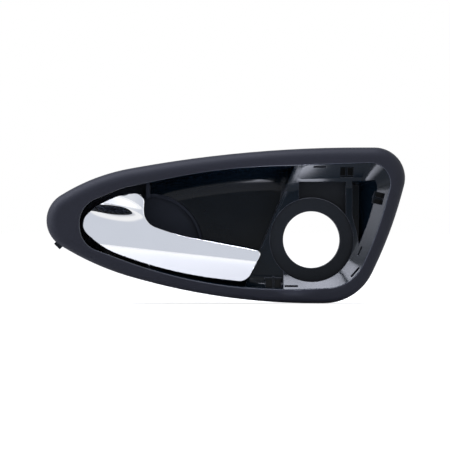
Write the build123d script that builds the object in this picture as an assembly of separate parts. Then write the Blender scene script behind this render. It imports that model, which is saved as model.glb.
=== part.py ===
"""Interior car door handle: a moulded bezel with a finger bowl, a sprung chrome pull lever,
the frame that carries the lever and the holder for a round switch.

X runs along the door, Z is up and Y points into the door. Heights are measured from the face of
the door panel towards the cabin, so a height h lies at Y = -h. The origin is on the axis of the
switch opening, in the plane of the door panel. All sizes are in millimetres.
"""

import os
from math import cos, exp, hypot, radians, tan, tanh

from build123d import *

# Bezel outlines as corners with their rounding: X, Z, radius
OUTER_CORNERS = [
    (-187.5, 12.4, 18.8),
    (-139.3, 41.6, 125.0),
    (-40.3, 59.3, 810.0),
    (65.8, 59.1, 19.5),
    (51.1, 5.0, 270.0),
    (29.4, -40.7, 34.0),
    (-53.7, -40.9, 420.0),
    (-137.7, -17.9, 180.0),
]
OPENING_CORNERS = [
    (-149.4, 21.4, 16.5),
    (-121.8, 33.0, 40.0),
    (-60.0, 45.8, 380.0),
    (54.3, 49.8, 13.3),
    (42.0, 4.5, 215.0),
    (25.8, -30.4, 26.0),
    (-64.7, -33.8, 300.0),
    (-147.8, -3.1, 16.5),
]

# Bezel section
WALL = 2.5
RIM_HEIGHT = 10.0
RIM_ROLL = 7.0
HOLLOW_ROUND = 2.4
OPENING_ROUND = 0.7
DRAFT_DEG = 6.0
BOWL_FLOOR = -20.0
BOWL_ROUND = 13.0

# Platform for the switch: a low steep land under the rim's edge, then a shallow slope down to it
PLATFORM = -1.5
PLATFORM_ROUND = 10.0
LAND = 1.0
SLOPE_DEG = 48.0
SLOPE_CORNER = 5.5
SLOPE_START = -18.2
STEEP_ROUND = 8.0
STEEP_WALL = 3.0
STEEP_LEDGE = 0.2

# Step from the platform down to the bowl, from its lower to its upper end
STEP_LOWER = (-32.6, -5.0)
STEP_UPPER = (-17.5, 31.7)
RIDGE_WIDTH = 1.7
RIDGE_HEIGHT = 0.9

# Nose of the bowl, where only a lip is left so that the lever can swing, and the round cut-out
NOSE_X = -104.0
LIP_END = 2.0
NOSE_GROWTH = 4.0
LIP_RELIEF = 0.4
LIP_EDGE = 1.0
SCOOP_CENTRE = (-103.7, -4.3)
SCOOP_RADIUS = 34.0
SCOOP_INSET = 7.0

# Switch opening, its ring and the recess above it
SWITCH_BORE_RADIUS = 18.25
RING_RADIUS = 27.0
RING_FACE = PLATFORM - 2.0
RECESS_LEFT = -8.1
RECESS_RIGHT = 22.0
RECESS_TOP = 37.2
RECESS_WALL = 2.8
HOLDER_FACE = PLATFORM - 7.0
HOLDER_PLATE = 2.5

# Valley beside the switch wall: corners at its brim and at its bottom, X, Z
VALLEY_BRIM = PLATFORM + 4.0
VALLEY_BRIM_CORNERS = [
    (26.0, 38.5),
    (43.5, 38.5),
    (32.0, -6.5),
    (30.6, -6.0),
    (29.2, 3.0),
    (26.0, 15.0),
]
VALLEY_BOTTOM = PLATFORM - 10.0
VALLEY_BOTTOM_CORNERS = [
    (26.5, 35.0),
    (31.0, 35.0),
    (30.9, -1.0),
    (30.3, -1.0),
    (29.7, 4.0),
    (26.5, 16.0),
]

# Pockets with a T-shaped rib: middle X, Z, turn of the stem, pocket width, pocket length
RIB_POCKETS = [
    (22.4, 43.2, 0.0, 8.4, 6.6),
    (42.6, 26.6, -105.0, 7.6, 6.4),
    (-24.6, -27.5, 180.0, 10.0, 6.6),
]
POCKET_FLOOR = PLATFORM - 4.0
POCKET_WALL = 1.5
RIB_TOP = PLATFORM + 2.0
RIB_THICKNESS = 1.3

# Narrow blind slots in the slope: middle X, Z, turn, length, distance from the opening's edge
WALL_SLOTS = [
    (5.0, 46.6, 0.0, 7.7, 1.5),
    (-13.3, -29.7, 0.0, 8.4, 2.1),
    (30.8, -7.2, 66.0, 6.2, 4.9),
    (27.6, -20.7, 48.0, 7.7, 2.2),
]
SLOT_WIDTH = 0.9
SLOT_DEPTH = 1.8

# Hook on the outer edge at the nose
NUB_MIDDLE = (-161.9, -2.8)
NUB_TURN = -44.0
NUB_LENGTH = 5.2
NUB_REACH = 2.2
NUB_HEIGHT = 3.0

# Screws, the bosses they go into and the tabs they hold: X, Z of each screw
SCREW_RADIUS = 1.5
SCREW_LENGTH = 7.0
SCREW_HEAD_RADIUS = 2.9
SCREW_HEAD_HEIGHT = 1.8
DRIVE_DEPTH = 0.9
DRIVE_WIDTH = 0.8
DRIVE_LENGTH = 3.4
BOSS_RADIUS = 3.2
TAB_RADIUS = 4.2
TAB_THICKNESS = 2.5
TAB_FACE = -1.0
NOSE_SCREW = (-160.0, 12.0)
TOP_SCREW = (-98.5, 42.8)
PAN_SCREW = (-61.5, 2.0)
TAB_ROOT = 12.0
HOLDER_SCREWS = [(2.0, 43.4), (-28.0, -14.0), (23.6, -22.2)]
HOLE_END_GAP = 0.6

# Blind holes behind the rim for the screws through the door panel: X, Z
PANEL_SCREWS = [(-62.0, 49.2), (46.0, 53.6), (18.0, -35.4), (-62.0, -32.9)]
PANEL_BOSS_RADIUS = 2.8
PANEL_HOLE_RADIUS = 1.4
PANEL_HOLE_DEPTH = 6.5

# Lever
LEVER_CORNERS = [
    (-151.6, 10.2, 9.0),
    (-131.3, 28.6, 46.0),
    (-106.7, 30.9, 6.2),
    (-108.1, 11.2, 11.5),
    (-86.7, 3.4, 145.0),
    (-31.4, -7.3, 3.0),
    (-41.6, -27.4, 8.5),
    (-90.0, -22.0, 270.0),
    (-134.1, -6.0, 55.0),
]
TIP_X = -147.3
TIP_HEIGHT = 0.5
FACE_SLOPE = 0.075
BLADE_START = (-40.0, -16.3)
BLADE_LEAN = 0.12
BLADE_BEND = 0.0012
CROWN_RADIUS = 45.0
CROWN_REACH = 14.0
DISH_DEPTH = 6.0
DISH_X = -127.0
DISH_SPREAD = 13.0
SHOULDER_TOP = (-143.0, 18.5)
SHOULDER_BEND = 0.005
SHOULDER_OFFSET = 2.3
SHOULDER_WIDTH = 2.0
COVER_WALL = 2.0
COVER_SKIRT = 7.0
COVER_ROUND = 1.0
GLUE_GAP = 0.25
FACE_STEP_X = 3.0
FACE_STEP_Z = 1.25

# Pivot: the hub, the spring above it and the two ears are stacked along the pin
PIVOT_X = -131.0
PIVOT_HEIGHT = -7.0
HUB_BOTTOM = -9.5
HUB_LENGTH = 12.0
HUB_RADIUS = 4.2
SPRING_SPACE = 7.0
EAR_THICKNESS = 3.5
EAR_RADIUS = 4.2
PIN_RADIUS = 2.0
PIN_HEAD_RADIUS = 3.5
PIN_HEAD_HEIGHT = 1.5
PIN_END = 2.5
RETAINER_RADIUS = 4.0
RETAINER_THICKNESS = 1.0

# Lever arm with the eye for the cable end
ARM_WIDTH = 6.0
ARM_BOTTOM = -6.0
ARM_THICKNESS = 6.0
EYE_BEHIND = 3.5
EYE_RADIUS = 2.6
EYE_HEAD_RADIUS = 4.5
CABLE_SLOT = 1.8
SPRING_LUG_TOP = 6.0
SPRING_LUG_START = 5.5
SPRING_LUG_LENGTH = 6.0
WINDOW_LEFT = 6.5
WINDOW_RIGHT = 5.5

# Return spring
SPRING_RADIUS = 3.8
WIRE_RADIUS = 0.6
WIRE_SIDES = 8
SPRING_TURNS = 4.5
MOVING_LEG_LENGTH = 10.0

# Lever frame
FRAME_WALL = 2.5
PAN_DEPTH = 4.0
PAN_SINK = 1.0
PAN_WALL = 2.0
TUB_GROWTH = 0.5
END_WALL_HEIGHT = 12.0
FLANGE_REACH = 3.0
ARM_SLOT_LEFT = 3.5
ARM_SLOT_RIGHT = 16.5
ARM_SLOT_SIDE = 0.5
BRACKET_X = -147.0
BRACKET_THICKNESS = 3.0
BRACKET_HALF_HEIGHT = 8.0
BRACKET_REACH = 9.5
CONDUIT_RADIUS = 2.4
GUSSET_LENGTH = 6.0
GUSSET_THICKNESS = 2.0

# Rubber buffer the arm rests against, and the rib that holds it
BUFFER_THICKNESS = 3.0
BUFFER_HEIGHT = 6.0
BUFFER_RIB = 2.5
BUFFER_PLUG_RADIUS = 1.2
BUFFER_HEAD_RADIUS = 1.9
BUFFER_HEAD = 1.2

# Clearances
FIT_GAP = 0.3
RUNNING_GAP = 0.05

# Reach of cutting bodies past what they cut, a short one and one past the whole handle
PAST = 5.0
FAR = 300.0

# Places worked out from the sizes above
HUB_TOP = HUB_BOTTOM + HUB_LENGTH
EAR_GAP = FIT_GAP
LOWER_EAR_TOP = HUB_BOTTOM - EAR_GAP
LOWER_EAR_BOTTOM = LOWER_EAR_TOP - EAR_THICKNESS
UPPER_EAR_BOTTOM = HUB_TOP + SPRING_SPACE + EAR_GAP
UPPER_EAR_TOP = UPPER_EAR_BOTTOM + EAR_THICKNESS
ARM_MIDDLE_Z = ARM_BOTTOM + ARM_THICKNESS / 2
ARM_LEFT = PIVOT_X - ARM_WIDTH / 2
FRAME_FLOOR = BOWL_FLOOR - PAN_DEPTH
FRAME_BACK = FRAME_FLOOR - FRAME_WALL
PAN_BRIM = BOWL_FLOOR - PAN_SINK
TUB_BRIM = LIP_END - FIT_GAP
END_WALL_BRIM = FRAME_FLOOR + END_WALL_HEIGHT
EYE_HEIGHT = FRAME_BACK - EYE_BEHIND
BUFFER_RIGHT = ARM_LEFT - FIT_GAP
BUFFER_LEFT = BUFFER_RIGHT - BUFFER_THICKNESS
SPRING_BOTTOM = HUB_TOP + FIT_GAP + WIRE_RADIUS
SPRING_TOP = UPPER_EAR_BOTTOM - FIT_GAP - WIRE_RADIUS


def at_height(height):
    """The plane across the door at a height, with X to the right and Z up in its sketch."""
    return Plane(origin=(0, -height, 0), x_dir=(1, 0, 0), z_dir=(0, -1, 0))


def rounded_outline(corners):
    """The face inside a corner polygon whose corners are rounded."""
    points = [(x, z) for x, z, radius in corners]
    radii = [radius for x, z, radius in corners]
    return make_face(FilletPolyline(*points, radius=radii, close=True))


def polygon(points):
    """The face inside a polygon with sharp corners."""
    return make_face(Polyline(*points, close=True))


def prism(sketch, low, high):
    """A sketch raised from a low height to a high one."""
    return extrude(at_height(low) * sketch, amount=high - low)


def block(left, right, bottom, top, low, high):
    """A box between two X, two Z and two heights."""
    middle = Pos((left + right) / 2, -(low + high) / 2, (bottom + top) / 2)
    return middle * Box(right - left, high - low, top - bottom)


def post(centre, radius, low, high):
    """A round post across the door at a point X, Z."""
    return prism(Pos(*centre) * Circle(radius), low, high)


def upright(radius, bottom, top, x=PIVOT_X, height=PIVOT_HEIGHT):
    """A round bar along Z, on the pivot axis unless told otherwise."""
    return Pos(x, -height, (bottom + top) / 2) * Cylinder(radius, top - bottom)


def front_edges(solid):
    """The edges around the foremost face."""
    return solid.faces().sort_by(Axis.Y)[0].edges()


def rear_edges(solid):
    """The edges around the rearmost face."""
    return solid.faces().sort_by(Axis.Y)[-1].edges()


def drafted(sketch, growth, top, bottom):
    """A sketch grown by a wall and narrowed by the mould draft, which starts at the rim face."""
    slope = tan(radians(DRAFT_DEG))
    top_growth = growth - (RIM_HEIGHT - top) * slope
    bottom_growth = growth - (RIM_HEIGHT - bottom) * slope
    sections = [
        at_height(bottom) * offset(sketch, bottom_growth),
        at_height(top) * offset(sketch, top_growth),
    ]
    return loft(sections)


def step_side(shift):
    """A large face on the bowl side of the step line, which is moved to the right by a shift."""
    along_x = STEP_UPPER[0] - STEP_LOWER[0]
    along_z = STEP_UPPER[1] - STEP_LOWER[1]
    low = (STEP_LOWER[0] - 2 * along_x + shift, STEP_LOWER[1] - 2 * along_z)
    high = (STEP_UPPER[0] + 2 * along_x + shift, STEP_UPPER[1] + 2 * along_z)
    far = OUTER_CORNERS[0][0]
    return polygon([low, high, (far, high[1]), (far, low[1])])


def step_ridge():
    """The low ridge along the upper edge of the step."""
    line = Line(STEP_LOWER, STEP_UPPER)
    across = (line % 0.5).rotate(Axis.Z, -90) * (RIDGE_WIDTH / 2)
    middle = line @ 0.5 + across
    turn = (line % 0.5).get_angle(Vector(1, 0, 0))
    bar = Pos(middle.X, middle.Y) * Rot(0, 0, turn) * Rectangle(line.length, RIDGE_WIDTH)
    ridge = prism(bar, PLATFORM - WALL / 2, PLATFORM + RIDGE_HEIGHT)
    return chamfer(front_edges(ridge), RIDGE_HEIGHT / 2)


def recess_outline(growth):
    """The ring and the recess above it in one outline."""
    ring = Circle(RING_RADIUS + growth)
    corners = [
        (RECESS_LEFT - growth, 0),
        (RECESS_RIGHT + growth, 0),
        (RECESS_RIGHT + growth, RECESS_TOP + growth),
        (RECESS_LEFT - growth, RECESS_TOP + growth),
    ]
    return ring + polygon(corners)


def inset_outline(inset):
    """The opening moved inwards side by side, with corners that never get tighter than allowed."""
    count = len(OPENING_CORNERS)
    corners = []
    for index, (x, z, radius) in enumerate(OPENING_CORNERS):
        before = OPENING_CORNERS[index - 1]
        after = OPENING_CORNERS[(index + 1) % count]
        in_length = hypot(x - before[0], z - before[1])
        out_length = hypot(after[0] - x, after[1] - z)
        in_side = ((z - before[1]) / in_length, (before[0] - x) / in_length)
        out_side = ((after[1] - z) / out_length, (x - after[0]) / out_length)
        share = inset / (1 + in_side[0] * out_side[0] + in_side[1] * out_side[1])
        moved_x = x + share * (in_side[0] + out_side[0])
        moved_z = z + share * (in_side[1] + out_side[1])
        corners.append((moved_x, moved_z, max(radius - inset, SLOPE_CORNER)))
    return rounded_outline(corners)


def platform_space(opening, growth):
    """The hollow over the platform, or the skin around it if grown: the land and the slope."""
    land_end = RIM_HEIGHT - LAND
    land = drafted(opening, growth, RIM_HEIGHT + 1 - growth, land_end - growth)
    steep = tan(radians(DRAFT_DEG)) * LAND
    wider = growth / cos(radians(SLOPE_DEG))
    run = tan(radians(SLOPE_DEG)) * (land_end - PLATFORM + growth)
    sections = [
        at_height(PLATFORM - growth) * inset_outline(steep + run - wider),
        at_height(land_end) * inset_outline(steep - wider),
    ]
    slope = fillet(rear_edges(loft(sections)), PLATFORM_ROUND + growth)
    return land + slope


def steep_corner(opening, growth):
    """The platform's lower corner beside the end of the lever, where the wall is steep."""
    top = RIM_HEIGHT - LAND + STEEP_LEDGE
    space = drafted(opening, growth - STEEP_LEDGE, top, PLATFORM - growth)
    space = fillet(rear_edges(space), STEEP_ROUND + growth)
    beside_lever = Pos(0, -FAR / 2) * left_of(SLOPE_START + growth)
    return space & prism(beside_lever, PLATFORM - PAST, RIM_HEIGHT)


def bowl_space(opening, growth):
    """The hollows of the bowl, the platform and its corner, or the skins around them if grown."""
    deep = drafted(opening, growth, RIM_HEIGHT + 1 - growth, BOWL_FLOOR - growth)
    deep = fillet(rear_edges(deep), BOWL_ROUND + growth)
    bowl_side = prism(step_side(growth), BOWL_FLOOR - 2 * PAST, RIM_HEIGHT + 2 * PAST)
    platform = platform_space(opening, growth) - bowl_side
    corner = steep_corner(opening, growth * STEEP_WALL / WALL) - bowl_side
    return deep & bowl_side, platform, corner


def boss(centre, radius, end, hole_radius, hole_depth, reach):
    """A round boss that reaches forward from its end, and the blind hole in that end."""
    body = post(centre, radius, end, end + reach)
    hole = post(centre, hole_radius, end - 1, end + hole_depth)
    return body, hole


def screw_boss(centre, end, reach):
    """A boss for one of the screws of this handle, with its hole."""
    depth = SCREW_LENGTH - TAB_THICKNESS + HOLE_END_GAP
    return boss(centre, BOSS_RADIUS, end, SCREW_RADIUS + RUNNING_GAP, depth, reach)


def all_bosses():
    """The bosses on the back of the bezel and their holes."""
    rim_reach = RIM_HEIGHT - WALL / 2
    pairs = [screw_boss(NOSE_SCREW, TAB_FACE, rim_reach - TAB_FACE)]
    pairs.append(screw_boss(TOP_SCREW, TAB_FACE, rim_reach - TAB_FACE))
    pairs.append(screw_boss(PAN_SCREW, FRAME_BACK, BOWL_FLOOR - FRAME_BACK))
    for centre in HOLDER_SCREWS:
        pairs.append(screw_boss(centre, HOLDER_FACE, RIM_HEIGHT - WALL - HOLDER_FACE))
    for centre in PANEL_SCREWS:
        pairs.append(boss(centre, PANEL_BOSS_RADIUS, 0, PANEL_HOLE_RADIUS, PANEL_HOLE_DEPTH, rim_reach))
    return pairs


def pocket_box(pocket, growth, low, high):
    """The box of a rib pocket, grown on all sides."""
    x, z, turn, width, length = pocket
    sketch = Pos(x, z) * Rot(0, 0, turn) * Rectangle(width + 2 * growth, length + 2 * growth)
    return prism(sketch, low, high)


def pocket_rib(pocket):
    """The T-shaped rib of a pocket: a bar at its inner side and a stem from there to the wall."""
    x, z, turn, width, length = pocket
    stem = Rectangle(RIB_THICKNESS, length + POCKET_WALL)
    bar = Pos(0, (RIB_THICKNESS - length) / 2) * Rectangle(width + POCKET_WALL, RIB_THICKNESS)
    return prism(Pos(x, z) * Rot(0, 0, turn) * (stem + bar), POCKET_FLOOR - WALL / 2, RIB_TOP)


def valley(growth):
    """The narrow hollow beside the switch wall, or the skin around it if grown."""
    brim = polygon(VALLEY_BRIM_CORNERS)
    bottom = polygon(VALLEY_BOTTOM_CORNERS)
    if growth:
        brim = offset(brim, growth, kind=Kind.INTERSECTION)
        bottom = offset(bottom, growth, kind=Kind.INTERSECTION)
    return loft([at_height(VALLEY_BOTTOM - growth) * bottom, at_height(VALLEY_BRIM) * brim], ruled=True)


def left_of(x):
    """A large face to the left of an X."""
    return Pos(x - FAR / 2, 0) * Rectangle(FAR, FAR)


def scoop_outline(opening, inset):
    """The round cut-out in the bowl floor, kept away from the bowl's walls."""
    disc = Pos(*SCOOP_CENTRE) * Circle(SCOOP_RADIUS - inset)
    return disc & offset(opening, -SCOOP_INSET - inset)


def build_bezel():
    outer = rounded_outline(OUTER_CORNERS)
    opening = rounded_outline(OPENING_CORNERS)
    deepest = BOWL_FLOOR - 2 * PAST

    rim = prism(outer, 0, RIM_HEIGHT)
    rim = fillet(front_edges(rim), RIM_ROLL)
    hollow = prism(offset(outer, -WALL), 0, RIM_HEIGHT - WALL)
    hollow = fillet(front_edges(hollow), HOLLOW_ROUND)
    bezel = rim - hollow
    bowl_skin, platform_skin, corner_skin = bowl_space(opening, WALL)
    bowl, platform, corner = bowl_space(opening, 0)
    bezel = bezel + (bowl_skin + platform_skin) + corner_skin
    bezel = bezel - (bowl + platform)
    rim_face = bezel.faces().sort_by(Axis.Y)[0]
    bezel = fillet(rim_face.inner_wires()[0].edges(), OPENING_ROUND)
    bezel = bezel - corner

    bosses = all_bosses()
    added = prism(recess_outline(RECESS_WALL), HOLDER_FACE, RIM_HEIGHT - WALL)
    added = added + valley(WALL)
    for pocket in RIB_POCKETS:
        added = added + pocket_box(pocket, POCKET_WALL, POCKET_FLOOR - WALL, RIM_HEIGHT - WALL)
    for body, hole in bosses:
        added = added + body
    bowl_middle, platform_middle, corner_middle = bowl_space(opening, WALL / 2)
    rim_middle = prism(offset(outer, -WALL / 2), deepest, RIM_HEIGHT - WALL / 2)
    rim_middle = fillet(front_edges(rim_middle), RIM_ROLL - WALL / 2)
    added = added - (bowl_middle + platform_middle) - corner_middle
    bezel = bezel + (added & rim_middle)

    bezel = bezel + step_ridge()
    bezel = bezel - prism(recess_outline(0), deepest, RIM_HEIGHT)
    bezel = bezel - valley(0)
    for pocket in RIB_POCKETS:
        bezel = bezel - pocket_box(pocket, 0, POCKET_FLOOR, RIM_HEIGHT)
        bezel = bezel + pocket_rib(pocket)
    for body, hole in bosses:
        bezel = bezel - hole
    for x, z, turn, length, distance in WALL_SLOTS:
        slot = Pos(x, z) * Rot(0, 0, turn) * Rectangle(length, SLOT_WIDTH)
        surface = RIM_HEIGHT - LAND - distance / tan(radians(SLOPE_DEG))
        bezel = bezel - prism(slot, surface - SLOT_DEPTH, RIM_HEIGHT)

    nose = offset(opening, NOSE_GROWTH) & left_of(NOSE_X)
    bezel = bezel - prism(nose, deepest, LIP_END)
    lip = offset(opening, LIP_RELIEF) & left_of(NOSE_X)
    bezel = bezel - prism(lip, LIP_END - 1, RIM_HEIGHT - LIP_EDGE)
    bezel = bezel - prism(scoop_outline(opening, 0), deepest, PLATFORM)
    nub = Pos(*NUB_MIDDLE) * Rot(0, 0, NUB_TURN) * Rectangle(NUB_LENGTH, 2 * NUB_REACH)
    return bezel + prism(nub, 0, NUB_HEIGHT)


def build_screw(centre, tab_face):
    """A pan head screw driven in from behind through a tab."""
    head_face = tab_face - TAB_THICKNESS
    head_end = head_face - SCREW_HEAD_HEIGHT
    head = post(centre, SCREW_HEAD_RADIUS, head_end, head_face)
    head = chamfer(rear_edges(head), SCREW_HEAD_HEIGHT / 2)
    cross = Rectangle(DRIVE_LENGTH, DRIVE_WIDTH) + Rectangle(DRIVE_WIDTH, DRIVE_LENGTH)
    shank = post(centre, SCREW_RADIUS, head_face, head_face + SCREW_LENGTH)
    shank = chamfer(front_edges(shank), SCREW_RADIUS / 2)
    return head - prism(Pos(*centre) * cross, head_end - 1, head_end + DRIVE_DEPTH) + shank


def tab(centre, root, face):
    """A flat tab around a screw hole, reaching from there to a root point."""
    x, z = centre
    length = abs(root[0] - x) + abs(root[1] - z)
    width = 2 * TAB_RADIUS
    size = (length, width) if root[1] == z else (width, length)
    plate = Pos((x + root[0]) / 2, (z + root[1]) / 2) * Rectangle(*size)
    return prism(plate + Pos(x, z) * Circle(TAB_RADIUS), face - TAB_THICKNESS, face)


def top_tab(opening, tub_end):
    """The tab of the upper screw, in the hollow of the rim and rooted on the wall of the tub."""
    left = TOP_SCREW[0] - TAB_ROOT - TAB_RADIUS
    right = TOP_SCREW[0] + TAB_RADIUS
    room = offset(rounded_outline(OUTER_CORNERS), -WALL - FIT_GAP)
    root = Pos((left + tub_end) / 2, TOP_SCREW[1]) * Rectangle(tub_end - left, 2 * TAB_ROOT)
    free = Pos((tub_end + right) / 2, TOP_SCREW[1]) * Rectangle(right - tub_end, 2 * TAB_ROOT)
    root = (room & root) - offset(opening, TUB_GROWTH + FRAME_WALL / 2)
    free = (room & free) - offset(opening, WALL + FIT_GAP)
    return prism(root, TAB_FACE - TAB_THICKNESS, TAB_FACE) + prism(free, TAB_FACE - TAB_THICKNESS, TAB_FACE)


def tab_hole(centre, face):
    """The clear hole of a screw through its tab."""
    return post(centre, SCREW_RADIUS + FIT_GAP, face - TAB_THICKNESS - 1, face + 1)


def build_holder():
    back = HOLDER_FACE - HOLDER_PLATE
    holder = prism(recess_outline(RECESS_WALL), back, HOLDER_FACE)
    for centre in HOLDER_SCREWS:
        holder = holder + post(centre, TAB_RADIUS, back, HOLDER_FACE)
    ring = post((0, 0), RING_RADIUS - RUNNING_GAP, back, RING_FACE)
    holder = holder - prism(step_side(WALL + FIT_GAP), back - 1, RING_FACE + 1)
    holder = holder - valley(WALL + FIT_GAP)
    for centre in HOLDER_SCREWS:
        holder = holder - tab_hole(centre, HOLDER_FACE)
    return holder + ring - post((0, 0), SWITCH_BORE_RADIUS, back - 1, RING_FACE + 1)


def ear(bottom, top):
    """A pivot ear that stands on the floor of the frame."""
    lug = block(PIVOT_X - EAR_RADIUS, PIVOT_X + EAR_RADIUS, bottom, top, FRAME_BACK, PIVOT_HEIGHT)
    return lug + upright(EAR_RADIUS, bottom, top)


def conduit_bracket():
    """The slotted wall behind the frame that holds the end of the cable's conduit."""
    low = FRAME_BACK - BRACKET_REACH
    left = BRACKET_X - BRACKET_THICKNESS
    bottom = ARM_MIDDLE_Z - BRACKET_HALF_HEIGHT
    top = ARM_MIDDLE_Z + BRACKET_HALF_HEIGHT
    wall = block(left, BRACKET_X, bottom, top, low, FRAME_BACK + 1)
    foot = (BRACKET_X + GUSSET_LENGTH, FRAME_BACK + 1)
    side = [(BRACKET_X - 1, low + 2), foot, (BRACKET_X - 1, FRAME_BACK + 1)]
    for z in (bottom, top - GUSSET_THICKNESS):
        plane = Plane(origin=(0, 0, z), x_dir=(1, 0, 0), z_dir=(0, 0, 1))
        profile = polygon([(x, -height) for x, height in side])
        wall = wall + extrude(plane * profile, amount=GUSSET_THICKNESS)
    slot_bottom = ARM_MIDDLE_Z - CONDUIT_RADIUS
    slot_top = ARM_MIDDLE_Z + CONDUIT_RADIUS
    wall = wall - block(left - 1, BRACKET_X + 1, slot_bottom, slot_top, low - 1, EYE_HEIGHT)
    round_end = Pos(BRACKET_X, -EYE_HEIGHT, ARM_MIDDLE_Z) * Rot(0, 90, 0)
    return wall - round_end * Cylinder(CONDUIT_RADIUS, 3 * BRACKET_THICKNESS)


def build_frame():
    opening = rounded_outline(OPENING_CORNERS)
    right_end = NOSE_X - FIT_GAP
    tub = offset(opening, TUB_GROWTH + FRAME_WALL) & left_of(right_end)
    tub_inside = offset(opening, TUB_GROWTH) & left_of(right_end - FRAME_WALL)
    pan = scoop_outline(opening, FIT_GAP)
    pan_inside = scoop_outline(opening, FIT_GAP + PAN_WALL)
    frame = prism(tub, FRAME_BACK, TUB_BRIM) + prism(pan, FRAME_BACK, PAN_BRIM)
    flange_face = BOWL_FLOOR - WALL - FIT_GAP
    tub_flange = offset(opening, TUB_GROWTH + FRAME_WALL) & left_of(right_end + FLANGE_REACH)
    frame = frame + prism(tub_flange + scoop_outline(opening, -FLANGE_REACH), FRAME_BACK, flange_face)
    frame = frame + tab(NOSE_SCREW, (NOSE_SCREW[0] + TAB_ROOT, NOSE_SCREW[1]), TAB_FACE)
    frame = frame - prism(tub_inside, FRAME_FLOOR, TUB_BRIM + PAST)
    frame = frame - prism(pan_inside, FRAME_FLOOR, TUB_BRIM + PAST)
    end_wall_left = right_end - FRAME_WALL
    frame = frame - block(end_wall_left, NOSE_X, -FAR, FAR, END_WALL_BRIM, TUB_BRIM + PAST)
    frame = frame + top_tab(opening, right_end)

    root = PAN_SCREW[0] - TAB_ROOT
    frame = frame + tab(PAN_SCREW, (root, PAN_SCREW[1]), FRAME_BACK)
    root_bottom = PAN_SCREW[1] - TAB_RADIUS
    root_top = PAN_SCREW[1] + TAB_RADIUS
    frame = frame + block(root - 4, root + 2, root_bottom, root_top, FRAME_BACK - TAB_THICKNESS, FRAME_FLOOR)
    frame = frame + ear(LOWER_EAR_BOTTOM, LOWER_EAR_TOP) + ear(UPPER_EAR_BOTTOM, UPPER_EAR_TOP)
    rib_end = FRAME_FLOOR + BUFFER_HEIGHT + 1
    arm_top = ARM_BOTTOM + ARM_THICKNESS
    frame = frame + block(BUFFER_LEFT - BUFFER_RIB, BUFFER_LEFT, ARM_BOTTOM, arm_top, FRAME_BACK, rib_end)
    frame = frame + conduit_bracket()

    frame = frame - upright(HUB_RADIUS + 2 * FIT_GAP, LOWER_EAR_TOP, 0)
    frame = frame - upright(PIN_RADIUS + RUNNING_GAP, LOWER_EAR_BOTTOM - 5, UPPER_EAR_TOP + 5)
    frame = frame - upright(PIN_HEAD_RADIUS + FIT_GAP, LOWER_EAR_BOTTOM - 10, LOWER_EAR_BOTTOM)
    slot_bottom = ARM_BOTTOM - ARM_SLOT_SIDE
    slot_top = arm_top + ARM_SLOT_SIDE
    slot_left = PIVOT_X - ARM_SLOT_LEFT
    slot_right = PIVOT_X + ARM_SLOT_RIGHT
    frame = frame - block(slot_left, slot_right, slot_bottom, slot_top, FRAME_BACK - 1, FRAME_FLOOR + 1)
    leg = (PIVOT_X - SPRING_RADIUS, SPRING_TOP)
    frame = frame - post(leg, WIRE_RADIUS + FIT_GAP, FRAME_BACK - 1, FRAME_FLOOR + 1)
    frame = frame - buffer_plug(BUFFER_PLUG_RADIUS + RUNNING_GAP)
    for centre, face in ((NOSE_SCREW, TAB_FACE), (TOP_SCREW, TAB_FACE), (PAN_SCREW, FRAME_BACK)):
        frame = frame - tab_hole(centre, face)
    return frame


def buffer_plug(radius):
    """The round stem that holds the buffer in its rib."""
    height = FRAME_FLOOR + 0.5 + BUFFER_HEIGHT / 2
    middle = Pos(BUFFER_LEFT - BUFFER_RIB / 2, -height, ARM_MIDDLE_Z) * Rot(0, 90, 0)
    return middle * Cylinder(radius, BUFFER_RIB)


def build_buffer():
    low = FRAME_FLOOR + 0.5
    arm_top = ARM_BOTTOM + ARM_THICKNESS
    pad = block(BUFFER_LEFT, BUFFER_RIGHT, ARM_BOTTOM + 0.5, arm_top - 0.5, low, low + BUFFER_HEIGHT)
    pad = fillet(pad.faces().sort_by(Axis.X)[-1].edges(), 0.8)
    head_x = BUFFER_LEFT - BUFFER_RIB - BUFFER_HEAD / 2
    head_place = Pos(head_x, -(low + BUFFER_HEIGHT / 2), ARM_MIDDLE_Z) * Rot(0, 90, 0)
    return pad + buffer_plug(BUFFER_PLUG_RADIUS) + head_place * Cylinder(BUFFER_HEAD_RADIUS, BUFFER_HEAD)


def build_pin():
    head_bottom = LOWER_EAR_BOTTOM - PIN_HEAD_HEIGHT
    head = upright(PIN_HEAD_RADIUS, head_bottom, LOWER_EAR_BOTTOM)
    head = chamfer(head.faces().sort_by(Axis.Z)[0].edges(), PIN_HEAD_HEIGHT / 2)
    shank = upright(PIN_RADIUS, LOWER_EAR_BOTTOM, UPPER_EAR_TOP + PIN_END)
    shank = chamfer(shank.faces().sort_by(Axis.Z)[-1].edges(), 0.5)
    return head + shank


def build_retainer():
    top = UPPER_EAR_TOP + RETAINER_THICKNESS
    ring = upright(RETAINER_RADIUS, UPPER_EAR_TOP, top)
    return ring - upright(PIN_RADIUS + RUNNING_GAP, UPPER_EAR_TOP - PAST, top + PAST)


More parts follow.
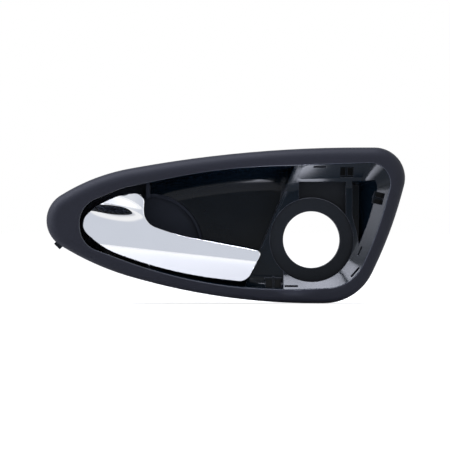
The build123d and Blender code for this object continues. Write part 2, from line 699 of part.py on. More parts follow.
def build_spring():
    height = SPRING_TOP - SPRING_BOTTOM
    path = Helix(height / SPRING_TURNS, height, SPRING_RADIUS)
    start = path @ 0
    wire = Plane(origin=start, z_dir=path % 0) * RegularPolygon(WIRE_RADIUS, WIRE_SIDES)
    coil = Pos(PIVOT_X, -PIVOT_HEIGHT, SPRING_BOTTOM) * sweep(wire, path=path)
    moving_x = PIVOT_X + SPRING_RADIUS
    fixed_x = PIVOT_X - SPRING_RADIUS
    moving_end = PIVOT_HEIGHT - MOVING_LEG_LENGTH
    fixed_end = FRAME_BACK + 0.5
    section = RegularPolygon(WIRE_RADIUS, WIRE_SIDES)
    moving_leg = prism(Pos(moving_x, SPRING_BOTTOM) * section, moving_end, PIVOT_HEIGHT + WIRE_RADIUS)
    fixed_leg = prism(Pos(fixed_x, SPRING_TOP) * section, fixed_end, PIVOT_HEIGHT + WIRE_RADIUS)
    return coil + moving_leg + fixed_leg


def lever_height(x, z):
    """The height of the lever's face: a crowned blade with a shoulder and a dish above it."""
    along = BLADE_START[0] - x
    middle = BLADE_START[1] + BLADE_LEAN * along + BLADE_BEND * along**2
    across = CROWN_REACH * tanh((z - middle) / CROWN_REACH)
    crown = across**2 / (2 * CROWN_RADIUS)
    shoulder = SHOULDER_TOP[1] - SHOULDER_BEND * (x - SHOULDER_TOP[0]) ** 2
    fall = (1 + tanh((z - shoulder - SHOULDER_OFFSET) / SHOULDER_WIDTH)) / 2
    dish = DISH_DEPTH * exp(-(((x - DISH_X) / DISH_SPREAD) ** 2)) * fall
    return TIP_HEIGHT + FACE_SLOPE * (x - TIP_X) - crown - dish


def lever_slab(sketch, depth, thickness):
    """A layer of the lever inside an outline, at a depth below its face."""
    box = sketch.bounding_box()
    columns = int((box.max.X - box.min.X + 8) / FACE_STEP_X) + 1
    rows = int((box.max.Y - box.min.Y + 8) / FACE_STEP_Z) + 1
    grid = []
    for column in range(columns + 1):
        x = box.min.X - 4 + column * FACE_STEP_X
        places = [box.min.Y - 4 + row * FACE_STEP_Z for row in range(rows + 1)]
        grid.append([Vector(x, depth - lever_height(x, z), z) for z in places])
    face = Face.make_surface_from_array_of_points(grid, tol=0.005)
    layer = extrude(face, amount=thickness, dir=(0, 1, 0))
    return layer & prism(sketch, -60, 60)


def build_cover():
    outline = rounded_outline(LEVER_CORNERS)
    shell = lever_slab(outline, 0, COVER_SKIRT)
    shell = fillet(shell.faces().sort_by(Axis.Y)[0].edges(), COVER_ROUND)
    shell = shell - lever_slab(offset(outline, -COVER_WALL), COVER_WALL, COVER_SKIRT)
    return shell - upright(HUB_RADIUS + FIT_GAP, HUB_BOTTOM - 10, HUB_TOP)


def build_core():
    outline = rounded_outline(LEVER_CORNERS)
    depth = COVER_WALL + GLUE_GAP
    core = lever_slab(offset(outline, -depth), depth, COVER_SKIRT - depth)
    window_left = PIVOT_X - WINDOW_LEFT
    window_right = PIVOT_X + WINDOW_RIGHT
    window_top = UPPER_EAR_TOP + PIN_END + 3 * FIT_GAP
    core = core - block(window_left, window_right, HUB_TOP, window_top, -20, 20)

    arm_right = ARM_LEFT + ARM_WIDTH
    arm_top = ARM_BOTTOM + ARM_THICKNESS
    lug_end = PIVOT_HEIGHT - SPRING_LUG_START
    core = core + upright(HUB_RADIUS, HUB_BOTTOM, HUB_TOP)
    core = core + block(ARM_LEFT, arm_right, ARM_BOTTOM, arm_top, EYE_HEIGHT, PIVOT_HEIGHT)
    lug_start = lug_end - SPRING_LUG_LENGTH
    core = core + block(ARM_LEFT, arm_right, ARM_BOTTOM, SPRING_LUG_TOP, lug_start, lug_end)
    core = core + upright(EYE_HEAD_RADIUS, ARM_BOTTOM, arm_top, height=EYE_HEIGHT)
    core = core - upright(PIN_RADIUS + RUNNING_GAP, HUB_BOTTOM - PAST, HUB_TOP + PAST)
    core = core - upright(EYE_RADIUS, ARM_BOTTOM - 1, arm_top + 1, height=EYE_HEIGHT)
    slot_bottom = ARM_MIDDLE_Z - CABLE_SLOT / 2
    slot_top = ARM_MIDDLE_Z + CABLE_SLOT / 2
    slot_left = PIVOT_X - EYE_HEAD_RADIUS - 1
    half = CABLE_SLOT / 2
    return core - block(slot_left, PIVOT_X, slot_bottom, slot_top, EYE_HEIGHT - half, EYE_HEIGHT + half)


def screw_group(places):
    """A set of alike screws, each given by its centre and the face of its tab."""
    return Compound(children=[build_screw(centre, face) for centre, face in places])


if __name__ == "__main__":
    os.makedirs("parts", exist_ok=True)
    holder_places = [(centre, HOLDER_FACE) for centre in HOLDER_SCREWS]
    frame_places = [(NOSE_SCREW, TAB_FACE), (TOP_SCREW, TAB_FACE), (PAN_SCREW, FRAME_BACK)]
    pieces = {
        "bezel": build_bezel(),
        "switch_holder": build_holder(),
        "holder_screws": screw_group(holder_places),
        "lever_frame": build_frame(),
        "frame_screws": screw_group(frame_places),
        "rest_buffer": build_buffer(),
        "pivot_pin": build_pin(),
        "pin_retainer": build_retainer(),
        "return_spring": build_spring(),
        "lever_cover": build_cover(),
        "lever_core": build_core(),
    }
    for name, piece in pieces.items():
        print(name, piece.is_valid, round(piece.volume), len(piece.solids()), len(piece.faces()))
        export_step(piece, f"parts/{name}.step")
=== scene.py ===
"""Interior car door handle on a pale floor, seen straight from the front.

Lengths are in metres where no comment says millimetres, and colours are linear.
"""

import math

import bmesh
import bpy
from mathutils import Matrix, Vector


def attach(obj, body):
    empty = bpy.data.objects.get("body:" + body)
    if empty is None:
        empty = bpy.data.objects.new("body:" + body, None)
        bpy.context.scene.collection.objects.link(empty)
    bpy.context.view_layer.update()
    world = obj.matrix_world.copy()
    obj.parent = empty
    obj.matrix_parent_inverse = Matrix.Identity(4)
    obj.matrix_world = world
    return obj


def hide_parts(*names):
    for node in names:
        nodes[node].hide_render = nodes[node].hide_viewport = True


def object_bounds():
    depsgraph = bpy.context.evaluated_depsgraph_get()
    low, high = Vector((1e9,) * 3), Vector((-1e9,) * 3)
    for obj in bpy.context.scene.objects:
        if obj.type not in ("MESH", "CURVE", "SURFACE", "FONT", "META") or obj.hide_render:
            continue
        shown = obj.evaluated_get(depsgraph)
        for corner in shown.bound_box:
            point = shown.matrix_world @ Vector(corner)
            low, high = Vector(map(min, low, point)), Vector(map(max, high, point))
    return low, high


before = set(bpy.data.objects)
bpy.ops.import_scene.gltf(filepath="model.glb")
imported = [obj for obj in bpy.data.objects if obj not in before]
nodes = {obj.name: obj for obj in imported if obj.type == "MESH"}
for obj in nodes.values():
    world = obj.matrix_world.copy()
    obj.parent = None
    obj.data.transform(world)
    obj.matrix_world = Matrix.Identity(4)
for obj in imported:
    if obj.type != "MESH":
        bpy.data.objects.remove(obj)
cad_low, cad_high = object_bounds()

# Millimetres in a metre, and a right angle in radians
MM = 1000
QUARTER_TURN = math.pi / 2

# Photograph: its width in pixels, the size of a pixel in the plane of the rim, and the middle of the
# picture, which lies to the left of the switch axis and above it
PICTURE_PIXELS = 450
PIXEL_SIZE = 0.0006398
PICTURE_MIDDLE = (-0.05563, 0.00945)
RIM_PLANE = -0.006

# Camera: its distance from the door panel, how far it sees and its sensor in millimetres
CAMERA_DISTANCE = 1.6
CAMERA_REACH = 50.0
SENSOR_WIDTH = 36.0

# Floor: its gap under the part, half its width, its tones, and the light of its own that makes it white.
# The lamps' share of that white is greatest below the origin and a quarter at the spread's distance
FLOOR_GAP = 0.0005
FLOOR_LEVEL = cad_low.z - FLOOR_GAP
FLOOR_REACH = 12.0
FLOOR_TONES = (0.5, 0.5, 0.5), (0.52, 0.52, 0.52)
FLOOR_ROUGHNESS = 0.9
FLOOR_GLOW = 0.66
LAMP_SHARE = 0.62
LAMP_SPREAD = 0.9

# World: white all round, greyer in front of the object and above it, and dark where the camera stands.
# The spans are of the direction's Y for the front and of its Z for the rest; the angles are in degrees
SIDE_TONE = (1.0, 1.0, 1.0)
FRONT_TONE = (0.68, 0.71, 0.78)
FRONT_SPAN = (-0.95, -0.35)
FRONT_TOP_SPAN = (0.3, 0.42)
TOP_TONE = (0.55, 0.56, 0.6)
TOP_SPAN = (0.6, 0.85)
CAMERA_TONE = (0.02, 0.022, 0.026)
CAMERA_SIDE = (0.02, -1.0, 0.0)
CAMERA_ANGLES = (8.0, 5.0)

# Lamps: their tone, how far the low one lies above the floor, and two angles in degrees
LAMP_TONE = (0.84, 0.87, 1.0)
LOW_STRIP_LIFT = 0.002
LOW_STRIP_SPREAD = 95
FRONT_BOX_TURN = 37

# Textures: scales in cells per metre, and the part of a noise's range that roughness follows
BEZEL_CLOUDS = 45.0
RIM_GRAIN = 2600.0
RIM_FINE_GRAIN = 5200.0
BOWL_WAVES = 900.0
MATTE_CLOUDS = 60.0
CHROME_CLOUDS = 35.0
CHROME_WIPING = 700.0
STEEL_CLOUDS = 400.0
STEEL_LINES = 4000.0
STEEL_LINE_STRETCH = 0.12
FLOOR_CLOUDS = 30.0
NOISE_SPAN = (0.3, 0.7)

# Rounded edges and their painted highlight: the match of rounded and plain normal from a flat to an edge,
# and the rounded normal's Z from an edge that looks down to one that looks up, with the share of the painted
# highlight that the lower one keeps
EDGE_HIGHLIGHT_MATCH = (0.98, 0.86)
EDGE_HIGHLIGHT_TURN = (-0.3, 0.4)
LOW_EDGE_HIGHLIGHT_SHARE = 0.2
EDGE_SAMPLES = 8

# Bezel: the bump of its textures, and the weight of each in the height
BEZEL_BUMP = {"strength": 0.35, "distance": 0.00012}
RIM_CELL_WEIGHT = 0.8
RIM_FINE_WEIGHT = 0.3
BOWL_WAVE_WEIGHT = 0.03

# Rim: the tones of its cells and of the borders between them, and where its faces are: in front of a
# plane and looking forward or away from the opening's middle, or on the skirt around it
RIM_SPECULAR = 0.34
RIM_CELL_TONE = (0.003, 0.0044, 0.0125)
RIM_BORDER_TONES = (0.0008, 0.0018, 0.0085), (0.0013, 0.0024, 0.0095)
RIM_CELL_SPAN = (0.1, 0.75)
OPENING_MIDDLE = Vector((-0.045, 0.0, 0.008))
RIM_BACK = -0.0042
RIM_FORWARD = -0.88
RIM_SIDE = 0.45
SKIRT_BACK = 0.0002

# Bowl: its tones, the painted highlight on the lip at the top of its wall, and the painted highlight on its
# edges
BOWL_SPECULAR = 0.18
BOWL_TONES = (0.0016, 0.0042, 0.0075), (0.0024, 0.0052, 0.009)
LIP_HIGHLIGHT_TONE = (0.04, 0.044, 0.056)
LIP_HIGHLIGHT_SPAN = (-0.0091, -0.0094)
BOWL_EDGE_HIGHLIGHT = (0.09, 0.095, 0.12)
BOWL_ROUNDING = 0.0004

# Fold between the bowl and the platform's upper slope: a line in X and Z, the distances from it and the
# heights over which the softening fades, and how much it adds to the rounding
FOLD_ACROSS_X = 0.936
FOLD_ACROSS_Z = -0.353
FOLD_OFFSET = 0.0272
FOLD_WIDTH = (0.004, 0.008)
FOLD_HEIGHT = (0.025, 0.037)
FOLD_ROUNDING = 0.006

# Matte plastics and rubber by the node that wears them: two tones, the tone of a painted highlight on edges,
# the range of roughness and the scale of the mould texture
MATTE_SPECULAR = 0.15
MATTE_ROUNDING = 0.0005
MATTE_LOOKS = {
    "switch_holder": {
        "name": "ring_plastic",
        "tones": ((0.0042, 0.0058, 0.0084), (0.0056, 0.0074, 0.0104)),
        # painted highlight on the ring's edges
        "edge_highlight_tone": (0.2, 0.21, 0.25),
        "roughness": (0.42, 0.55),
        "texture": 3500.0,
    },
    "lever_frame": {
        "name": "frame_plastic",
        "tones": ((0.0135, 0.017, 0.027), (0.0165, 0.02, 0.031)),
        "edge_highlight_tone": (0.0165, 0.02, 0.031),
        "roughness": (0.5, 0.62),
        "texture": 3500.0,
    },
    "lever_core": {
        "name": "core_plastic",
        "tones": ((0.006, 0.006, 0.007), (0.009, 0.009, 0.0105)),
        "edge_highlight_tone": (0.014, 0.014, 0.016),
        "roughness": (0.45, 0.6),
        "texture": 3000.0,
    },
    "rest_buffer": {
        "name": "buffer_rubber",
        "tones": ((0.006, 0.006, 0.006), (0.011, 0.011, 0.011)),
        "edge_highlight_tone": (0.013, 0.013, 0.013),
        "roughness": (0.7, 0.85),
        "texture": 2500.0,
    },
}

CHROME_TONES = (0.83, 0.84, 0.86), (0.88, 0.89, 0.91)
STEEL_TONES = (0.5, 0.51, 0.53), (0.66, 0.67, 0.68)
STEEL_NODES = ("holder_screws", "frame_screws", "pivot_pin", "pin_retainer", "return_spring")

# The lever's face, in millimetres: a crown along a leaning line, on a slope that starts at the left tip,
# with a dish behind a curved shoulder
TIP_X = -147.3
TIP_HEIGHT = 0.5
FACE_SLOPE = 0.075
CROWN_END_X = -40.0
CROWN_RADIUS = 45.0
CROWN_REACH = 14.0
SHOULDER_X = -143.0
SHOULDER_Z = 18.5
SHOULDER_CURVE = 0.005
DISH_X = -127.0
DISH_LENGTH = 13.0
FALL_OFFSET = 2.3
ROLL_OFFSET = -1.5
ROLL_WIDTH = 3.0
RISE_OFFSET = 6.5
RISE_WIDTH = 2.5

# Two such faces: the solid's, and the plated one with a lower crown line at its left, a soft roll before
# the shoulder and a dish that rises again towards its upper edge
SOLID_FACE = {
    "start": -16.3, "lean": 0.12, "bend": 0.0012, "depth": 6.0, "soft": 2.0, "roll": 0.0, "rise": 0.0,
}
PLATED_FACE = {
    "start": -13.6, "lean": 0.112, "bend": 0.0, "depth": 5.2, "soft": 2.4, "roll": 1.3, "rise": 0.25,
}

# The plated mesh, in millimetres and degrees: how near a vertex of the face lies to the formula, the
# edges that are divided around the dish, the step of a slope, and the angle of a sharp edge
FACE_MATCH = 0.12
FACE_EDGE = 0.9
FACE_DIVISIONS = 2
DISH_LEFT_OF = -108.0
DISH_ABOVE = 5.0
SLOPE_STEP = 0.02
SHARP_ANGLE = 35

# Vertices of the solid's mesh that are nearer than this, in metres, are one
SAME_PLACE = 1e-6


def add_object(name, data):
    """An object with its data, in the scene."""
    thing = bpy.data.objects.new(name, data)
    bpy.context.scene.collection.objects.link(thing)
    return thing


def new_material(name):
    """A material with its node tree and its shader."""
    material = bpy.data.materials.new(name)
    material.use_nodes = True
    tree = material.node_tree
    return material, tree, tree.nodes["Principled BSDF"]


def connect(tree, value, socket):
    """Links another node's output to a socket, or sets the socket to a constant."""
    if isinstance(value, bpy.types.NodeSocket):
        tree.links.new(value, socket)
    else:
        socket.default_value = value


def math_node(tree, operation, *values):
    """A math node on numbers or other nodes' outputs."""
    node = tree.nodes.new("ShaderNodeMath")
    node.operation = operation
    for value, socket in zip(values, node.inputs):
        connect(tree, value, socket)
    return node.outputs[0]


def dot_product(tree, first, second):
    """The dot product of two vectors, each a constant or an output."""
    node = tree.nodes.new("ShaderNodeVectorMath")
    node.operation = "DOT_PRODUCT"
    connect(tree, first, node.inputs[0])
    connect(tree, second, node.inputs[1])
    return node.outputs["Value"]


def split(tree, vector):
    """The outputs X, Y and Z of a vector."""
    node = tree.nodes.new("ShaderNodeSeparateXYZ")
    tree.links.new(vector, node.inputs[0])
    return node.outputs


def noise(tree, place, scale, detail=3.0, roughness=0.5):
    """The factor of a noise texture of a scale in cells per metre."""
    node = tree.nodes.new("ShaderNodeTexNoise")
    node.inputs["Scale"].default_value = scale
    node.inputs["Detail"].default_value = detail
    node.inputs["Roughness"].default_value = roughness
    tree.links.new(place, node.inputs["Vector"])
    return node.outputs["Fac"]


def grain(tree, place, scale):
    """Leather-like moulding grain: small rounded cells of a scale in cells per metre."""
    node = tree.nodes.new("ShaderNodeTexVoronoi")
    node.feature = "SMOOTH_F1"
    node.inputs["Scale"].default_value = scale
    node.inputs["Smoothness"].default_value = 0.6
    tree.links.new(place, node.inputs["Vector"])
    return node.outputs["Distance"]


def spread(tree, value, span, result=(0.0, 1.0)):
    """A value's span mapped to another range, smoothly and with clamped ends."""
    node = tree.nodes.new("ShaderNodeMapRange")
    node.interpolation_type = "SMOOTHSTEP"
    for name, number in zip(("From Min", "From Max", "To Min", "To Max"), (*span, *result)):
        node.inputs[name].default_value = number
    tree.links.new(value, node.inputs["Value"])
    return node.outputs["Result"]


def mix_color(tree, factor, first, second):
    """Two colours mixed by a factor; each is a tuple or an output."""
    node = tree.nodes.new("ShaderNodeMix")
    node.data_type = "RGBA"
    tree.links.new(factor, node.inputs["Factor"])
    for name, value in (("A", first), ("B", second)):
        socket = [s for s in node.inputs if s.name == name and s.type == "RGBA"][0]
        connect(tree, (*value, 1.0) if isinstance(value, tuple) else value, socket)
    return [s for s in node.outputs if s.type == "RGBA"][0]


def vary_roughness(tree, shader, texture, low, high):
    """Makes a shader's roughness follow a noise."""
    tree.links.new(spread(tree, texture, NOISE_SPAN, (low, high)), shader.inputs["Roughness"])


def rounded_edges(tree, radius):
    """The normal with edges rounded by a radius, and the factor of a painted highlight along edges, greatest
    on edges that look up.
    """
    rounding = tree.nodes.new("ShaderNodeBevel")
    rounding.samples = EDGE_SAMPLES
    connect(tree, radius, rounding.inputs["Radius"])
    normal = rounding.outputs["Normal"]
    plain_normal = tree.nodes.new("ShaderNodeNewGeometry").outputs["Normal"]
    # factor of a painted highlight along edges; edges that look up get more of it
    edge = spread(tree, dot_product(tree, normal, plain_normal), EDGE_HIGHLIGHT_MATCH)
    upward_highlight = spread(tree, split(tree, normal)["Z"], EDGE_HIGHLIGHT_TURN, (LOW_EDGE_HIGHLIGHT_SHARE, 1.0))
    return normal, math_node(tree, "MULTIPLY", edge, upward_highlight)


def soft_fold(tree, place):
    """A factor that is one along the fold between the bowl and the platform's upper slope."""
    axes = split(tree, place)
    across = math_node(tree, "MULTIPLY_ADD", axes["X"], FOLD_ACROSS_X, FOLD_OFFSET)
    across = math_node(tree, "MULTIPLY_ADD", axes["Z"], FOLD_ACROSS_Z, across)
    near = spread(tree, math_node(tree, "ABSOLUTE", across), FOLD_WIDTH, (1.0, 0.0))
    return math_node(tree, "MULTIPLY", near, spread(tree, axes["Z"], FOLD_HEIGHT))


def bump(tree, shader, height, strength, distance, normal=None):
    """Bump from a height onto a shader, on top of another normal if there is one."""
    node = tree.nodes.new("ShaderNodeBump")
    node.inputs["Strength"].default_value = strength
    node.inputs["Distance"].default_value = distance
    tree.links.new(height, node.inputs["Height"])
    if normal is not None:
        tree.links.new(normal, node.inputs["Normal"])
    tree.links.new(node.outputs["Normal"], shader.inputs["Normal"])


def place_of(tree):
    """The place on the object in metres, which moves with the piece."""
    return tree.nodes.new("ShaderNodeTexCoord").outputs["Object"]


def rim_material():
    """Grained front of the bezel's rim: small cells with darker borders."""
    material, tree, shader = new_material("grained_rim")
    shader.inputs["Specular IOR Level"].default_value = RIM_SPECULAR
    place = place_of(tree)
    cells = grain(tree, place, RIM_GRAIN)
    fine = noise(tree, place, RIM_FINE_GRAIN)
    borders = mix_color(tree, noise(tree, place, BEZEL_CLOUDS), *RIM_BORDER_TONES)
    color = mix_color(tree, spread(tree, cells, RIM_CELL_SPAN), RIM_CELL_TONE, borders)
    tree.links.new(color, shader.inputs["Base Color"])
    vary_roughness(tree, shader, fine, low=0.56, high=0.68)
    height = math_node(tree, "MULTIPLY", cells, RIM_CELL_WEIGHT)
    height = math_node(tree, "MULTIPLY_ADD", fine, RIM_FINE_WEIGHT, height)
    bump(tree, shader, height, **BEZEL_BUMP)
    return material


def bowl_material():
    """Glossy bowl, platform and back of the bezel, with painted highlights on the lip and along edges."""
    material, tree, shader = new_material("glossy_bowl")
    shader.inputs["Specular IOR Level"].default_value = BOWL_SPECULAR
    place = place_of(tree)
    broad = noise(tree, place, BEZEL_CLOUDS)
    fold = soft_fold(tree, place)
    radius = math_node(tree, "MULTIPLY_ADD", fold, FOLD_ROUNDING, BOWL_ROUNDING)
    normal, edge = rounded_edges(tree, radius)
    edge = math_node(tree, "MULTIPLY", edge, math_node(tree, "SUBTRACT", 1.0, fold))
    color = mix_color(tree, broad, *BOWL_TONES)
    # painted highlight on the lip: the bowl's faces nearest the front get the paler tone
    color = mix_color(tree, spread(tree, split(tree, place)["Y"], LIP_HIGHLIGHT_SPAN), color, LIP_HIGHLIGHT_TONE)
    # painted highlight along the bowl's edges, left out along the soft fold
    tree.links.new(mix_color(tree, edge, color, BOWL_EDGE_HIGHLIGHT), shader.inputs["Base Color"])
    vary_roughness(tree, shader, broad, low=0.13, high=0.17)
    waves = noise(tree, place, BOWL_WAVES, detail=2.0)
    height = math_node(tree, "MULTIPLY", waves, BOWL_WAVE_WEIGHT)
    bump(tree, shader, height, **BEZEL_BUMP, normal=normal)
    return material


def matte_material(name, tones, edge_highlight_tone, roughness, texture):
    """Matte moulding with a fine spark-eroded texture and a painted highlight in a tone of its own along
    edges, strongest where they look up.
    """
    material, tree, shader = new_material(name)
    shader.inputs["Specular IOR Level"].default_value = MATTE_SPECULAR
    place = place_of(tree)
    fine = noise(tree, place, texture, detail=4.0, roughness=0.6)
    normal, edge = rounded_edges(tree, MATTE_ROUNDING)
    plain = mix_color(tree, noise(tree, place, MATTE_CLOUDS), *tones)
    # painted highlight in the edge tone along edges, strongest where they look up
    tree.links.new(mix_color(tree, edge, plain, edge_highlight_tone), shader.inputs["Base Color"])
    vary_roughness(tree, shader, fine, *roughness)
    bump(tree, shader, fine, strength=0.25, distance=0.0001, normal=normal)
    return material


def chrome_material():
    """Bright chrome plating with a trace of waviness and wiping marks."""
    material, tree, shader = new_material("bright_chrome")
    place = place_of(tree)
    shader.inputs["Metallic"].default_value = 1.0
    broad = noise(tree, place, CHROME_CLOUDS)
    tree.links.new(mix_color(tree, broad, *CHROME_TONES), shader.inputs["Base Color"])
    vary_roughness(tree, shader, noise(tree, place, CHROME_WIPING), low=0.035, high=0.07)
    bump(tree, shader, broad, strength=0.02, distance=0.0004)
    return material


def steel_material():
    """Zinc-plated steel with fine drawn lines."""
    material, tree, shader = new_material("zinc_steel")
    place = place_of(tree)
    shader.inputs["Metallic"].default_value = 1.0
    lines = tree.nodes.new("ShaderNodeMapping")
    lines.inputs["Scale"].default_value = (1.0, STEEL_LINE_STRETCH, 1.0)
    tree.links.new(place, lines.inputs["Vector"])
    drawn = noise(tree, lines.outputs["Vector"], STEEL_LINES)
    color = mix_color(tree, noise(tree, place, STEEL_CLOUDS), *STEEL_TONES)
    tree.links.new(color, shader.inputs["Base Color"])
    vary_roughness(tree, shader, drawn, low=0.24, high=0.42)
    bump(tree, shader, drawn, strength=0.15, distance=0.00005)
    return material


def floor_material():
    """Pale matte floor; a share of its own light for what looks at it makes it white but for the shadow.

    In reflections that share is smaller near the object, where the lamps already light the floor.
    """
    material, tree, shader = new_material("pale_floor")
    place = place_of(tree)
    tone = mix_color(tree, noise(tree, place, FLOOR_CLOUDS), *FLOOR_TONES)
    tree.links.new(tone, shader.inputs["Base Color"])
    shader.inputs["Roughness"].default_value = FLOOR_ROUGHNESS
    shader.inputs["Specular IOR Level"].default_value = 0.0
    rays = tree.nodes.new("ShaderNodeLightPath").outputs
    square = dot_product(tree, place, place)
    distance = math_node(tree, "MULTIPLY_ADD", square, 1 / LAMP_SPREAD**2, 1.0)
    lamp_light = math_node(tree, "DIVIDE", LAMP_SHARE, math_node(tree, "MULTIPLY", distance, distance))
    reflected = math_node(tree, "MAXIMUM", rays["Is Glossy Ray"], rays["Is Transmission Ray"])
    in_mirror = math_node(tree, "MULTIPLY", reflected, math_node(tree, "SUBTRACT", FLOOR_GLOW, lamp_light))
    in_picture = math_node(tree, "MULTIPLY", rays["Is Camera Ray"], FLOOR_GLOW)
    shader.inputs["Emission Color"].default_value = (1.0, 1.0, 1.0, 1.0)
    tree.links.new(math_node(tree, "ADD", in_mirror, in_picture), shader.inputs["Emission Strength"])
    return material


def on_rim(mesh, polygon):
    """Whether a polygon of the bezel belongs to the rim.

    The walls of the convex opening are the faces that look towards its middle. They belong to the bowl,
    and so does everything behind the rim's front but the skirt.
    """
    outward = polygon.center - OPENING_MIDDLE
    outward.y = 0.0
    facing = polygon.normal.dot(outward.normalized())
    forward = polygon.center.y < RIM_BACK and (polygon.normal.y < RIM_FORWARD or facing > 0)
    back = max(mesh.vertices[index].co.y for index in polygon.vertices)
    skirt = back < SKIRT_BACK and facing > RIM_SIDE
    return forward or skirt


def two_tone_bezel():
    """The bezel as a mesh of its own with a grained rim and a glossy bowl."""
    mesh = nodes["bezel"].data.copy()
    mesh.name = "two_tone_bezel"
    mesh.materials.clear()
    mesh.materials.append(rim_material())
    mesh.materials.append(bowl_material())
    for polygon in mesh.polygons:
        polygon.material_index = 0 if on_rim(mesh, polygon) else 1
    bezel = add_object("two_tone_bezel", mesh)
    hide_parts("bezel")
    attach(bezel, "housing")


def soft_step(distance, width):
    """A step from nought to one across a line, softened over a width."""
    return (1.0 + math.tanh(distance / width)) / 2.0


def lever_face(x, z, start, lean, bend, depth, soft, roll, rise):
    """The height of a lever face above the door panel at a point, all in millimetres."""
    along = CROWN_END_X - x
    from_crown = z - start - lean * along - bend * along**2
    across = CROWN_REACH * math.tanh(from_crown / CROWN_REACH)
    shoulder = SHOULDER_Z - SHOULDER_CURVE * (x - SHOULDER_X) ** 2
    fall = soft_step(z - shoulder - FALL_OFFSET, soft)
    ramp = soft_step(z - shoulder - ROLL_OFFSET, ROLL_WIDTH)
    upper = soft_step(z - shoulder - RISE_OFFSET, RISE_WIDTH)
    length = math.exp(-(((x - DISH_X) / DISH_LENGTH) ** 2))
    dish = (depth * fall + roll * ramp) * (1.0 - rise * upper) * length
    return TIP_HEIGHT + FACE_SLOPE * (x - TIP_X) - across**2 / (2 * CROWN_RADIUS) - dish


def face_normal(x, z, face):
    """The normal of a lever face at a point in millimetres."""
    right, left = lever_face(x + SLOPE_STEP, z, **face), lever_face(x - SLOPE_STEP, z, **face)
    above, below = lever_face(x, z + SLOPE_STEP, **face), lever_face(x, z - SLOPE_STEP, **face)
    rise_x = (right - left) / (2 * SLOPE_STEP)
    rise_z = (above - below) / (2 * SLOPE_STEP)
    return Vector((-rise_x, -1.0, -rise_z)).normalized()


def on_face(place):
    """Whether a place in metres lies on the solid's face."""
    height = lever_face(place.x * MM, place.z * MM, **SOLID_FACE)
    return abs(-place.y * MM - height) < FACE_MATCH


def divide_dish(work):
    """Divides the long edges of the face around the dish, and puts the new vertices on the face."""
    front = {vertex for vertex in work.verts if on_face(vertex.co)}
    long_edges = []
    for edge in work.edges:
        first, second = edge.verts
        in_dish = first.co.x * MM < DISH_LEFT_OF and first.co.z * MM > DISH_ABOVE
        if first in front and second in front and in_dish and edge.calc_length() * MM > FACE_EDGE:
            long_edges.append(edge)
    bmesh.ops.subdivide_edges(work, edges=long_edges, cuts=1, use_grid_fill=True)
    bmesh.ops.triangulate(work, faces=work.faces)
    for vertex in work.verts:
        if on_face(vertex.co):
            vertex.co.y = -lever_face(vertex.co.x * MM, vertex.co.z * MM, **SOLID_FACE) / MM


def true_normals(mesh, on_front):
    """The mesh's corner normals, with the plated face's own ones on polygons that lie on the front."""
    normals = [corner.vector.copy() for corner in mesh.corner_normals]
    for polygon in mesh.polygons:
        if not all(on_front[index] for index in polygon.vertices):
            continue
        for index in polygon.loop_indices:
            place = mesh.vertices[mesh.loops[index].vertex_index].co
            normals[index] = face_normal(place.x * MM, place.z * MM, PLATED_FACE)
    return normals


def plated_cover():
    """The lever's cover as a finer mesh of its own, with the plated face in place of the solid's."""
    work = bmesh.new()
    work.from_mesh(nodes["lever_cover"].data)
    bmesh.ops.remove_doubles(work, verts=work.verts, dist=SAME_PLACE)
    for _ in range(FACE_DIVISIONS):
        divide_dish(work)
    on_front = [on_face(vertex.co) for vertex in work.verts]
    for vertex in work.verts:
        x, z = vertex.co.x * MM, vertex.co.z * MM
        vertex.co.y -= (lever_face(x, z, **PLATED_FACE) - lever_face(x, z, **SOLID_FACE)) / MM
    mesh = bpy.data.meshes.new("lever_plating")
    work.to_mesh(mesh)
    work.free()
    mesh.validate()
    mesh.shade_smooth()
    mesh.set_sharp_from_angle(angle=math.radians(SHARP_ANGLE))
    mesh.normals_split_custom_set(true_normals(mesh, on_front))
    mesh.materials.append(chrome_material())
    cover = add_object("lever_plating", mesh)
    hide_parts("lever_cover")
    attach(cover, "lever")


def dress(material, name):
    """Gives a CAD node a material in all its slots."""
    for slot in nodes[name].material_slots:
        slot.link = "OBJECT"
        slot.material = material


def pale_floor():
    """The floor under the part."""
    corners = [(-1, -1), (1, -1), (1, 1), (-1, 1)]
    mesh = bpy.data.meshes.new("floor")
    mesh.from_pydata([(x * FLOOR_REACH, y * FLOOR_REACH, 0) for x, y in corners], [], [(0, 1, 2, 3)])
    mesh.materials.append(floor_material())
    floor = add_object("floor", mesh)
    floor.location = (0, 0, FLOOR_LEVEL)


def studio_world():
    """The light from all round, by direction."""
    world = bpy.data.worlds.new("studio")
    bpy.context.scene.world = world
    world.use_nodes = True
    tree = world.node_tree
    background = tree.nodes["Background"]
    direction = tree.nodes.new("ShaderNodeTexCoord").outputs["Generated"]
    axes = split(tree, direction)
    front = spread(tree, axes["Y"], FRONT_SPAN, (1.0, 0.0))
    front = math_node(tree, "MULTIPLY", front, spread(tree, axes["Z"], FRONT_TOP_SPAN, (1.0, 0.0)))
    above = spread(tree, axes["Z"], TOP_SPAN)
    towards = dot_product(tree, direction, Vector(CAMERA_SIDE).normalized())
    camera_place = spread(tree, towards, [math.cos(math.radians(angle)) for angle in CAMERA_ANGLES])
    tone = mix_color(tree, above, SIDE_TONE, TOP_TONE)
    tone = mix_color(tree, front, tone, FRONT_TONE)
    tree.links.new(mix_color(tree, camera_place, tone, CAMERA_TONE), background.inputs["Color"])
    background.inputs["Strength"].default_value = 1.0


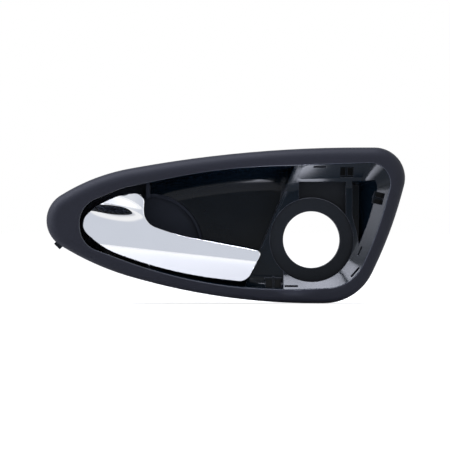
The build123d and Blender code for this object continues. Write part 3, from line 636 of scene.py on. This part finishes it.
def soft_box(name, place, turn, size, radiance):
    """A soft light of a size, an even brightness and a turn from looking straight down."""
    light = bpy.data.lights.new(name, "AREA")
    light.shape = "RECTANGLE"
    width, height = size
    light.size = width
    light.size_y = height
    light.energy = radiance * math.pi * width * height
    light.color = LAMP_TONE
    lamp = add_object(name, light)
    lamp.location = place
    lamp.rotation_euler = turn
    return lamp


def studio_lamps():
    """The lamps that shine on the slopes and on the right of the object.

    Narrow strips hang above, at the upper left and on the left, a little in front of the rim. A small oval
    lamp lies low in front of the platform and looks up, and a soft box stands at the right front.
    """
    soft_box("top_strip", (-0.18, -0.105, 0.9), (0, 0, 0), size=(0.55, 0.13), radiance=28.0)
    soft_box("corner_strip", (-0.72, -0.11, 0.7), (0, -QUARTER_TURN / 2, 0), size=(0.5, 0.14), radiance=30.0)
    soft_box("left_strip", (-0.9, -0.1, 0.2), (0, -QUARTER_TURN, 0), size=(0.4, 0.14), radiance=12.0)
    low_place = (-0.011, -0.032, FLOOR_LEVEL + LOW_STRIP_LIFT)
    low_strip = soft_box("low_strip", low_place, (2 * QUARTER_TURN, 0, 0), size=(0.052, 0.04), radiance=5.0)
    low_strip.data.shape = "ELLIPSE"
    low_strip.data.spread = math.radians(LOW_STRIP_SPREAD)
    low_strip.visible_camera = False
    front_turn = (QUARTER_TURN, 0, math.radians(FRONT_BOX_TURN))
    soft_box("front_box", (0.6, -0.8, 0.3), front_turn, size=(0.5, 0.5), radiance=1.2)


def picture_camera():
    """The camera straight in front, with the photograph's frame in the plane of the rim."""
    data = bpy.data.cameras.new("camera")
    data.sensor_width = SENSOR_WIDTH
    data.lens = SENSOR_WIDTH * (CAMERA_DISTANCE + RIM_PLANE) / (PICTURE_PIXELS * PIXEL_SIZE)
    data.clip_end = CAMERA_REACH
    camera = add_object("camera", data)
    camera.location = (PICTURE_MIDDLE[0], -CAMERA_DISTANCE, PICTURE_MIDDLE[1])
    camera.rotation_euler = (QUARTER_TURN, 0.0, 0.0)
    bpy.context.scene.camera = camera


two_tone_bezel()
plated_cover()
for node_name, look in MATTE_LOOKS.items():
    dress(matte_material(**look), node_name)
steel = steel_material()
for node_name in STEEL_NODES:
    dress(steel, node_name)

pale_floor()
studio_world()
studio_lamps()
picture_camera()
bpy.context.scene.view_settings.view_transform = "Standard"
